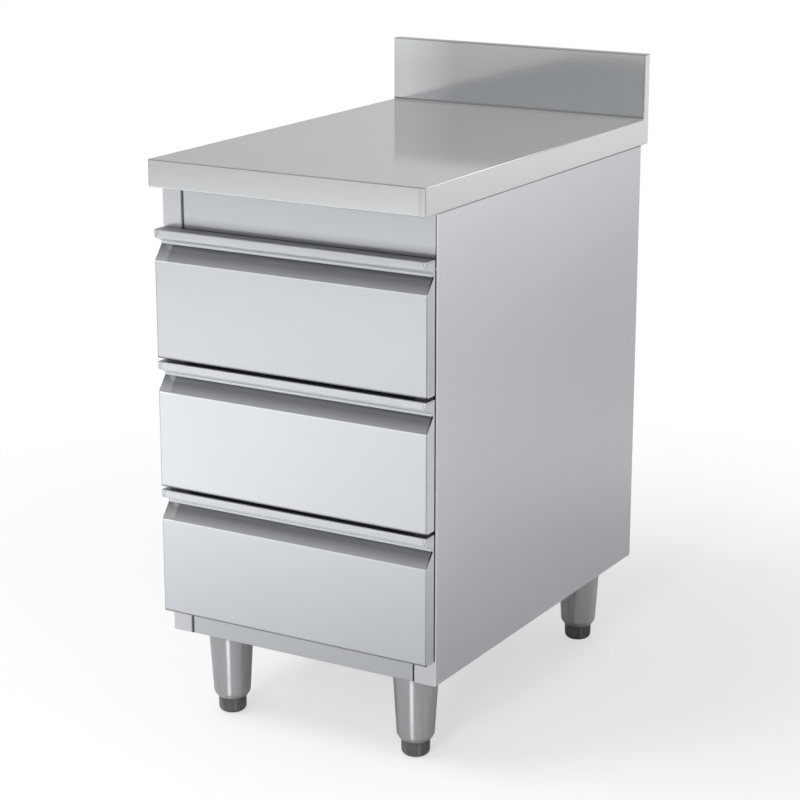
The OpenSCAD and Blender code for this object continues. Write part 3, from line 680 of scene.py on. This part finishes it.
# %% Sizes of the body
SHEET, FOLD, FLANGE = 1.0, 2.0, 20.0
POST_RETURN, SEAM_GAP = 18.0, 1.2
GAP_STRIP, SEAM, FADE = 4.0, 1.8, 4
x1, y0, y1, z0, z1 = body_high[0], body_low[1], body_high[1], body_low[2], body_high[2]
post_x = node_box("outer_rail_right_1")[1][0]
post_back = node_box("side_panel_left")[0][1] + POST_RETURN
seam_z = node_box("top_fascia")[0][2] - SEAM_GAP
slit_z = node_box("drawer_front_3")[0][2] + 2.0
panel_path = rounded([(post_x, post_back, 0), (post_x, y0, FOLD), (post_x + FOLD + SEAM, y0, 0),
                      (x1 - GAP_STRIP - 2, y0, 0), (x1 - GAP_STRIP, y0, 0), (x1, y0, FOLD),
                      (x1, y0 + FOLD + SEAM, 0), (x1, y1, FOLD), (x1 - FLANGE, y1, 0)])
print("body from the middle:", round(x1, 2), "post:", round(x1 - post_x, 2), "height:", round(z1 - z0, 2))


# %% Pieces of body sheet
def folded(node, surfaces, body, material, edge=0.25):
    """The CAD node of that name, made anew from sheet."""
    return add_piece(f"{node}_folded", surfaces, body, material, [node], wall=SHEET, edge=edge)


# %% Side panels
def side_panel(post_top):
    """Panel with its corner post, which ends at post_top, and the flanges at its top and bottom. It is the path,
    as seen from above, carried along Z."""
    levels = np.array([z0, slit_z - FADE, slit_z, seam_z - FADE, seam_z, z1 - SEAM, z1])
    keep = np.ones((len(panel_path) - 1, len(levels) - 1), bool)
    above = levels[:-1] > post_top - 0.1
    post = np.minimum(panel_path[:-1, 0], panel_path[1:, 0]) < x1 - SHEET - 0.1
    keep[np.ix_(post & (panel_path[:-1, 1] < y1 - 5), above)] = False
    main = carried(panel_path, 2, levels, keep=keep)
    shelves = []
    for z in (z1, z0 + 2 * SHEET):
        corners = np.array([(x1 - FLANGE, y0 + SHEET, z), (x1 - SHEET, y0 + SHEET, z),
                            (x1 - SHEET, y1 - SHEET, z), (x1 - FLANGE, y1 - SHEET, z)])
        shelves.append((corners, [np.array([[0, 1, 2, 3]])]))
    return [main, *shelves]


# %% Marks of the side panels
# Painted light and shade of the side panels: four tones of the large face, a highlight on the front fold, and shade on
# the post, its inner fold, in the slit and under the worktop.
SIDE_PAINTED_LIGHT_AND_SHADE = ((0.11, 0.01), (0.06, -0.18))
POST_PAINTED_SHADE, FOLD_PAINTED_HIGHLIGHT = 0.12, 0.2
LEFT_FOLD_PAINTED_SHADE, RIGHT_FOLD_PAINTED_SHADE = 0.8, 0.1
SLIT_PAINTED_SHADE, TOP_SEAM_PAINTED_SHADE = 0.92, 0.75


def mark_post(panel):
    """Painted light and shade of a side panel. Its large face runs evenly between four painted tones: front and
    rear, at the bottom and at the top. The front fold gets a painted highlight. Painted shade darkens the post,
    its inner fold, the strip of it that shows through the slit beside the drawer fronts, and the seam under the
    worktop."""
    x, y, z = points_of(panel)
    from_middle = np.abs(x)
    rearward = (y - y0) / (y1 - y0)
    bottom, top = (front + (rear - front) * rearward for front, rear in SIDE_PAINTED_LIGHT_AND_SHADE)
    facing = y < y0 + 0.1
    inner_fold = (from_middle < post_x + FOLD + 0.1) & (y < y0 + FOLD + 0.1)
    strip = (from_middle > x1 - GAP_STRIP - 0.1) & (from_middle < x1 - 0.6) & (y < y0 + 1.9)
    slit = strip & (z > slit_z - 0.1) & (z < seam_z - FADE + 0.1)
    top_seam = (from_middle > x1 - 0.1) & (z > z1 - 0.1)
    front_line = (from_middle > x1 - 0.3) & (y < y0 + FOLD + 0.1) & ~top_seam
    mark(panel, "tone", bottom + (top - bottom) * (z - z0) / (z1 - z0) - POST_PAINTED_SHADE * facing
         + FOLD_PAINTED_HIGHLIGHT * front_line - inner_fold * np.where(x < 0, LEFT_FOLD_PAINTED_SHADE, RIGHT_FOLD_PAINTED_SHADE)
         - SLIT_PAINTED_SHADE * slit - TOP_SEAM_PAINTED_SHADE * top_seam)


for name, surfaces in (("right", side_panel(seam_z)), ("left", [mirrored(s) for s in side_panel(z1)])):
    mark_post(folded(f"side_panel_{name}", surfaces, "cabinet", side_steel))
print("side panels: the right post ends at", round(seam_z, 1), "and the left one at", round(z1, 1))

# %% [markdown]
# The fascia, the bottom rail and the back panel are plain folded channels, so each is one path carried along X.
# The shade in the seams at their ends and the shadow of the first drawer's lip are too thin for the lamps to draw,
# so they are painted shade, carried by marks. Painted shade also makes the fascia and the rail a little darker,
# more so to the right. A seam is narrow because a second line of points lies close beside it without the mark.

# %% Fascia and bottom rail
SHADED = 18.0
# Painted shade on the fascia and the rail: a little overall, in the seams at their ends, below the first drawer's lip,
# and growing to the right.
FASCIA_PAINTED_SHADE, RAIL_PAINTED_SHADE = -0.04, -0.08
LEFT_SEAM_PAINTED_SHADE, FASCIA_RIGHT_SEAM_PAINTED_SHADE, RAIL_RIGHT_SEAM_PAINTED_SHADE = 0.7, 0.7, 0.1
LIP_PAINTED_SHADOW, PAINTED_SHADE_RIGHTWARD = 0.4, 0.05
NO_WELD = 100.0


def mark_front_sheet(piece, tone, shaded_below, right_seam):
    """Marks a sheet of the front with painted shade: it gets a little darker, more so to the right, and dark along
    its end seams and below a height. No weld is seen there, so drop is far below a lip."""
    x, y, z = points_of(piece)
    seams = LEFT_SEAM_PAINTED_SHADE * (x < x.min() + 0.3) + right_seam * (x > x.max() - 0.3)
    mark(piece, "drop", np.full(len(x), NO_WELD))
    mark(piece, "tone", tone - PAINTED_SHADE_RIGHTWARD * (1 + x / x.max()) - seams - LIP_PAINTED_SHADOW * (z < shaded_below))


low, high = node_box("top_fascia")
lip_top = node_box("drawer_front_1")[1][2]
path = rounded([(high[1], high[2], 0), (low[1], high[2], 1.2), (low[1], lip_top + SHADED, 0),
                (low[1], lip_top - 1, 0), (low[1], low[2], FOLD), (high[1], low[2], 0)])
fascia_cells = np.ones((len(path) - 1, 4), bool)
fascia_cells[0, 2:] = False
flange_x = x1 - FLANGE - 0.2
stations = [low[0], low[0] + SEAM, flange_x, high[0] - SEAM, high[0]]
fascia = folded("top_fascia", [carried(path, 0, stations, keep=fascia_cells)], "cabinet", front_steel)
mark_front_sheet(fascia, FASCIA_PAINTED_SHADE, lip_top, FASCIA_RIGHT_SEAM_PAINTED_SHADE)

low, high = node_box("bottom_rail")
path = rounded([(high[1], high[2], 0), (low[1], high[2], FOLD), (low[1], low[2], FOLD), (high[1], low[2], 0)])
stations = [low[0], low[0] + SEAM, high[0] - SEAM, high[0]]
rail = folded("bottom_rail", [carried(path, 0, stations)], "cabinet", front_steel)
mark_front_sheet(rail, RAIL_PAINTED_SHADE, low[2], RAIL_RIGHT_SEAM_PAINTED_SHADE)
print("fascia and rail points:", len(fascia.data.vertices), len(rail.data.vertices))

# %% Back panel
low, high = node_box("back_panel")
path = rounded([(high[1], low[2], 0), (high[1], high[2], 1.5), (low[1], high[2], 0)])
back_cells = np.ones((len(path) - 1, 3), bool)
back_cells[-1, [0, 2]] = False
stations = [low[0], -flange_x, flange_x, high[0]]
folded("back_panel", [carried(path, 0, stations, keep=back_cells)], "cabinet", plain_steel)
print("back panel:", np.round(high - low, 1))

# %% [markdown]
# Rubber stops on the corner posts catch the closing drawer fronts. A squashed sphere would look much the same,
# but a short straight foot under a quarter of an ellipse is what such a stop has.

# %% Bumpers
BUMPER_R, STRAIGHT = 5.0, 0.4
BUMPER_HEIGHTS = (25.0, 120.0)


def dome(centre, height):
    """Round stop that stands out to the front. After its straight foot it rises by sin a while its radius
    shrinks by cos a."""
    angle = np.linspace(0, pi / 2, 6)
    rise = np.concatenate([[0.0], height * (STRAIGHT + (1 - STRAIGHT) * np.sin(angle))])
    radius = np.concatenate([[BUMPER_R], BUMPER_R * np.cos(angle)])
    points, faces = polar((0, 0), radius[:, None], rise[:, None], full_circle(24))
    return np.array(centre) + points[:, [0, 2, 1]] * (1, -1, 1), faces


low, high = node_box("bumpers")
stops = [dome((side * (post_x + x1) / 2, high[1], node_box(f"drawer_front_{n}")[0][2] + up_by), high[1] - low[1])
         for side in (-1, 1) for n in (1, 2, 3) for up_by in BUMPER_HEIGHTS]
add_piece("bumpers_domed", stops, "cabinet", rubber, ["bumpers"])
print("bumpers:", len(stops))

# %% [markdown]
# ## Legs and feet
#
# A leg is a spun sleeve: it tapers from 68 mm under the body to 55 mm, where its mouth is rolled in. A cone would
# miss the rolled mouth and the open inside. So the sleeve's wall is a closed ring in section, turned about the
# leg's axis.

# %% Leg sleeves
CORNERS = ("front_left", "front_right", "rear_left", "rear_right")
TOP_R, NECK_R, MOUTH_R, SEAT_R = 34.0, 27.6, 23.0, 24.0
NECK_HEIGHT = 7.5
WALL = 1.2


def leg_ring(low_z, top_z):
    """Closed section of the sleeve's wall as (radius, height): the outer line and the line 1.2 mm inside."""
    outer = rounded([(MOUTH_R, low_z, 0), (NECK_R, low_z + NECK_HEIGHT, 5), (TOP_R, top_z, 1.5),
                     (SEAT_R, top_z, 0)], steps=8)
    inner = outer - outward(outer) * WALL
    return np.concatenate([outer, inner[::-1]])


for corner in CORNERS:
    low, high = node_box(f"leg_{corner}")
    centre = (low + high)[:2] / 2
    radius, height = np.split(leg_ring(low[2], high[2]), 2, axis=1)
    add_piece(f"leg_{corner}_spun", [polar(centre, radius, height, full_circle(128), wrap=True)],
              "cabinet", leg_steel, [f"leg_{corner}"])
print("leg sleeves from", round(low[2], 1), "to", round(high[2], 1), "mm above the floor")

# %% [markdown]
# The levelling foot is round underneath and has six flats for a spanner. Cutting a hexagon into a turned piece
# would leave knife edges. Here the radius is the smaller of a round profile and a hexagon, blended softly. The
# stem carries a real thread, a ridge that climbs one pitch in each turn, because it shows when the foot is out.

# %% Feet
FOOT_R, FLATS, FOOT_TURN = 21.5, 40.4, radians(15)
SOLE_R, BLEND = 9, 0.2
AROUND = 144


def hexagon_sector(angle):
    """Angle from the middle of the nearest flat."""
    return np.mod(angle - FOOT_TURN, pi / 3) - pi / 6


def foot_surface(centre, height):
    """Foot on a polar grid. Radius = -k * log(exp(-round / k) + exp(-hexagon / k)), the soft minimum."""
    profile = rounded([(0.0, 0.0, 0), (FOOT_R - 0.6, 0.0, SOLE_R), (FOOT_R, height, 0.8), (0.0, height, 0)], steps=10)
    profile = np.insert(profile, 1, [[4.0, 0.0], [8.0, 0.0]], axis=0)
    angle = full_circle(AROUND)
    hexagon = FLATS / 2 / np.cos(hexagon_sector(angle))
    radius = -BLEND * np.log(np.exp(-profile[:, :1] / BLEND) + np.exp(-hexagon / BLEND))
    radius[profile[:, 0] == 0] = 0
    return polar(centre, radius, profile[:, 1:], angle)


# %% Threaded stems
STEM_R, PITCH, THREAD_DEPTH = 8.0, 2.5, 1.1
RINGS_A_TURN, STEM_SIDES = 8, 32


def thread_surface(centre, bottom, top):
    """Stem with a thread: radius = r - depth * (0.5 - 0.5 cos(turns of the screw at that height and angle))."""
    height = np.linspace(bottom, top, int((top - bottom) / PITCH * RINGS_A_TURN))[:, None]
    angle = full_circle(STEM_SIDES)
    radius = STEM_R - THREAD_DEPTH * (0.5 - 0.5 * np.cos(2 * pi * height / PITCH - angle))
    radius = np.vstack([np.zeros(STEM_SIDES), radius, np.zeros(STEM_SIDES)])
    return polar(centre, radius, np.vstack([height[:1], height, height[-1:]]), angle)


# %% Place the feet
# Painted highlight along the edges between the foot's flats.
EDGE_HIGHLIGHT_WIDTH = 0.06
FOOT_IN_SLEEVE = 8.0
for corner in CORNERS:
    low, high = node_box(f"foot_{corner}")
    centre = (low + high)[:2] / 2
    foot_top = node_box(f"leg_{corner}")[0][2] + FOOT_IN_SLEEVE
    foot = add_piece(f"foot_{corner}_moulded",
                     [foot_surface(centre, foot_top), thread_surface(centre, foot_top - 0.5, high[2])],
                     f"foot_{corner}", foot_plastic, [f"foot_{corner}"])
    x, y, z = points_of(foot)
    from_edge = pi / 6 - np.abs(hexagon_sector(np.arctan2(y - centre[1], x - centre[0])))
    mark(foot, "edge_highlight", np.exp(-(from_edge / EDGE_HIGHLIGHT_WIDTH) ** 2) * (z < foot_top - 1) * (z > 4))
print("foot points:", len(foot.data.vertices))

# %% [markdown]
# ## Drawers
#
# A drawer front is one sheet. From its top edge it drops into a grip lip, runs back under the lip to form the
# channel for the fingers, slopes out again and falls straight to its lower edge. Both ends are closed, and the
# back is open, where the inner pan closes it. A box with a groove cut into it would have sharp edges, and on
# steel the round ones are what catches the light. So the section is one rounded path, carried along X.

# %% The front's surface
LIP_FACE, LIP_R = 12.4, 5
GRIP_DEPTH, GRIP_TOP, GRIP_LOW = 16, 19.1, 24.0
SLOPE_LOW, EDGE_LINE = 44.7, 3.6
SHARP_R, CORNER_R, END_R = 1.5, 4.0, 1.2
LIGHT_END = 18.0


def front_surface(low, high):
    """Skin of a drawer front between its box's corners, open at the back."""
    depth = high[1] - low[1]
    height = high[2] - low[2]
    shape = rounded([
        (depth, 0, 0), (0, 0, SHARP_R), (0, -LIP_FACE, LIP_R), (GRIP_DEPTH, -GRIP_TOP, SHARP_R),
        (GRIP_DEPTH + 0.35, 1.4 - GRIP_LOW, 0), (GRIP_DEPTH + 0.5, -GRIP_LOW, 0), (0, -SLOPE_LOW, SHARP_R),
        (0, -SLOPE_LOW - 3, 0), (0, EDGE_LINE - height, 0), (0, -height, 2), (depth - CORNER_R, -height, 0)])
    angle = np.linspace(0, pi / 2, 6)[1:]
    corner = np.stack([depth - CORNER_R + CORNER_R * np.sin(angle), CORNER_R * (1 - np.cos(angle)) - height], axis=1)
    place = (low[1], high[2])
    stations = np.array([2 - high[0], LIGHT_END - high[0], LIGHT_END + 3 - high[0], high[0] - 2])
    return end_rounded(shape + place, high[0], END_R, stations=stations, tail=corner + place)


# %% [markdown]
# The three sheets differ a little in tone in the photograph, and each gets its own painted light and shade. On
# each, the grinding lines are strongest on the lip, painted shade darkens the deep end of the grip, its back wall
# and the lip's top, painted light lightens the foot of the slope and the closed ends, and the creases at the ends
# and the lower edge are lines of painted shade, which also grows to the right. The lip's underside is matt. Lamps
# alone can't draw lines this thin, so they are marks.

# %% The front's marks
# Painted light and shade of the drawer fronts: light on the closed ends, a tone for each sheet, light at the slope's
# foot, and shade in the grip, in the creases, along the lower edge, on the grip's back wall and on the lip's top.
PLATE_PAINTED_LIGHT = 0.18
SHEET_PAINTED_LIGHT_AND_SHADE = {1: (-0.05, -0.07), 2: (0.07, 0.19), 3: (0.14, 0.05)}
SLOPE_PAINTED_LIGHT, SLOPE_PAINTED_LIGHT_LEFT = 0.2, 0.25
GRIP_PAINTED_SHADE, GRIP_PAINTED_SHADE_LEFT = 0.8, 0.35
UPPER_CREASE_PAINTED_SHADE, LOWER_CREASE_PAINTED_SHADE, EDGE_PAINTED_SHADE = 0.6, 0.5, 0.6
WALL_PAINTED_SHADE, TOP_PAINTED_SHADE = 0.12, 0.3


def mark_front(front, low, high, tones):
    """Marks the grip lip, its underside, the closed ends and the folds. The two tones are the sheet's painted light
    and shade at the top and the bottom of its flat face. The whole tone is the product of the folds' painted light
    and shade, the sheet's painted share and a painted shade that grows to the right."""
    x, y, z = points_of(front)
    drop, depth, from_middle = high[2] - z, y - low[1], np.abs(x)
    ends = from_middle > high[0] - 0.05
    left_end = x < LIGHT_END + 1 - high[0]
    top_face = (drop < 0.05) & (depth > SHARP_R - 0.1)
    back_wall = (drop > 15.5) & (drop < GRIP_LOW - 1)
    grip_end = (drop > GRIP_LOW - 0.5) & (depth > GRIP_DEPTH - 2)
    slope_foot = (drop > GRIP_LOW) & (drop < SLOPE_LOW + 2) & (depth < 2)
    lower_edge = z < low[2] + 2.1
    creases = (from_middle > high[0] - END_R - 0.01) & (from_middle < high[0] - 0.35 * END_R) & (drop > GRIP_LOW - 2)
    # Painted light at the slope's foot; painted shade in the grip, in the creases, on its back wall, on the top and
    # along the lower edge.
    folds = (slope_foot * (SLOPE_PAINTED_LIGHT + SLOPE_PAINTED_LIGHT_LEFT * left_end)
             - grip_end * (GRIP_PAINTED_SHADE - GRIP_PAINTED_SHADE_LEFT * left_end)
             - creases * np.where(drop < SLOPE_LOW, UPPER_CREASE_PAINTED_SHADE, LOWER_CREASE_PAINTED_SHADE)
             - WALL_PAINTED_SHADE * back_wall - TOP_PAINTED_SHADE * top_face - EDGE_PAINTED_SHADE * lower_edge)
    sheet = np.interp(drop, [SLOPE_LOW, high[2] - low[2]], tones)
    mark(front, "drop", drop)
    mark(front, "lip", drop < GRIP_LOW - 1)
    mark(front, "satin", (drop > 11) & (drop < GRIP_LOW - 1) & (depth > 0.05) & ~ends)
    mark(front, "tone", (1 + np.where(ends, PLATE_PAINTED_LIGHT, folds)) * (1 + sheet) * (1 - PAINTED_SHADE_RIGHTWARD * (1 + x / high[0])) - 1)


for n in (1, 2, 3):
    low, high = node_box(f"drawer_front_{n}")
    front = folded(f"drawer_front_{n}", [front_surface(low, high)], f"drawer_{n}", front_steel)
    mark_front(front, low, high, SHEET_PAINTED_LIGHT_AND_SHADE[n])
print("drawer fronts:", np.round(high - low, 1), "points each:", len(front.data.vertices))

# %% [markdown]
# Behind each front lies a box of plain sheet. One trough makes its bottom and both sides, with rims folded out
# over the slides, and two more sheets close it in front and behind. As single sheets with a real thickness they
# also look right from above, when the drawer is open.

# %% Drawer boxes
RIM = 7.0
INSIDE_GAP = 0.05


def box_surfaces(low, high, front_y, rim_y):
    """Trough with rims folded out along its sides, its front wall, and its rear wall with a rim."""
    wall_x, rear_y, rim_z = high[0] - RIM, high[1] - RIM, high[2] - SHEET
    path = rounded([(-high[0], rim_z, 0), (-wall_x, rim_z, 0.8), (-wall_x, low[2], 3), (wall_x, low[2], 3),
                    (wall_x, rim_z, 0.8), (high[0], rim_z, 0)])
    keep = np.ones((len(path) - 1, 2), bool)
    keep[[0, -1], 0] = False
    trough = carried(path, 1, [front_y, rim_y, rear_y], keep=keep)
    inside, floor_z = wall_x - SHEET - INSIDE_GAP, low[2] + SHEET + INSIDE_GAP
    front = carried(np.array([(front_y, high[2]), (front_y, floor_z)]), 0, [-inside, inside])
    path = rounded([(rear_y, floor_z, 0), (rear_y, rim_z, 0.8), (high[1], rim_z, 0)])
    keep = np.ones((len(path) - 1, 3), bool)
    keep[:-1, [0, 2]] = False
    rear = carried(path, 0, [-high[0], -inside, inside, high[0]], keep=keep)
    return [trough, front, rear]


for n in (1, 2, 3):
    low, high = node_box(f"drawer_box_{n}")
    folded(f"drawer_box_{n}", box_surfaces(low, high, low[1], y0 + SHEET), f"drawer_{n}", plain_steel,
           edge=0.2)
print("drawer boxes:", np.round(high - low, 1))

# %% [markdown]
# ## Slides
#
# The drawers run on telescopic slides. Each has three members, rolled from strip, that sit inside each other
# with balls between them. A member is a channel with round corners, in which the balls run. Bars with square
# corners would do from far away. A short rounded path, carried along the slide, costs no more, and its races
# catch the light. The left and the right slide are mirror images.

# %% Slide members
STRIP, RACE_R, HOOK = 1.2, 2.3, 1.0


def member(kind, n, side):
    """Rolled channel that fills its CAD node's box. The outer and middle members open towards the box, the
    inner one towards the post."""
    name = f"{kind}_rail_{'right' if side > 0 else 'left'}_{n}"
    low, high = node_box(name)
    middle_z = (low[2] + high[2]) / 2
    near, far = (post_x - high[0], post_x - low[0]) if side > 0 else (post_x + low[0], post_x + high[0])
    top, bottom = high[2] - middle_z, low[2] - middle_z
    if kind == "outer":
        path = [(far, top - STRIP - HOOK, 0), (far, top, RACE_R), (near, top, RACE_R), (near, bottom, RACE_R),
                (far, bottom, RACE_R), (far, bottom + STRIP + HOOK, 0)]
    elif kind == "middle":
        path = [(far, top, 0), (near, top, RACE_R), (near, bottom, RACE_R), (far, bottom, 0)]
    else:
        path = [(near, bottom, 0), (far, bottom, RACE_R), (far, top, RACE_R), (near, top, 0)]
    path = rounded(path, steps=4)
    placed = np.stack([side * (post_x - path[:, 0]), middle_z + path[:, 1]], axis=1)
    return name, carried(placed, 1, [low[1], high[1]], flip=side > 0)


for n in (1, 2, 3):
    for kind, body in (("outer", "cabinet"), ("middle", f"middle_rails_{n}"), ("inner", f"drawer_{n}")):
        for side in (-1, 1):
            name, surface = member(kind, n, side)
            add_piece(f"{name}_rolled", [surface], body, zinc, [name], wall=STRIP, edge=0.2)

# %% [markdown]
# ## Small parts from the CAD
#
# Screws, rivets, bolts, ball cages and the flat parts inside already have their shape in the CAD model. Made
# anew they would look the same, so they stay as they are and get a finish.

# %% Finishes of the CAD nodes
NODE_FINISHES = {
    "worktop_board": board, "floor_panel": plain_steel, "runner_posts": zinc, "carcass_screws": zinc,
    "rail_screws": bright_steel, "leg_plates": zinc, "leg_bolts": bright_steel, "leg_inserts": foot_plastic,
    "drawer_liner": plain_steel, "drawer_rivets": bright_steel, "outer_cages": bright_steel,
    "inner_cages": bright_steel,
}
for name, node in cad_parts.items():
    if node.hide_render:
        continue
    finish = next(m for start, m in NODE_FINISHES.items() if name.startswith(start))
    node.data.materials.clear()
    node.data.materials.append(finish)
print("CAD nodes that show:", sum(not n.hide_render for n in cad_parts.values()))
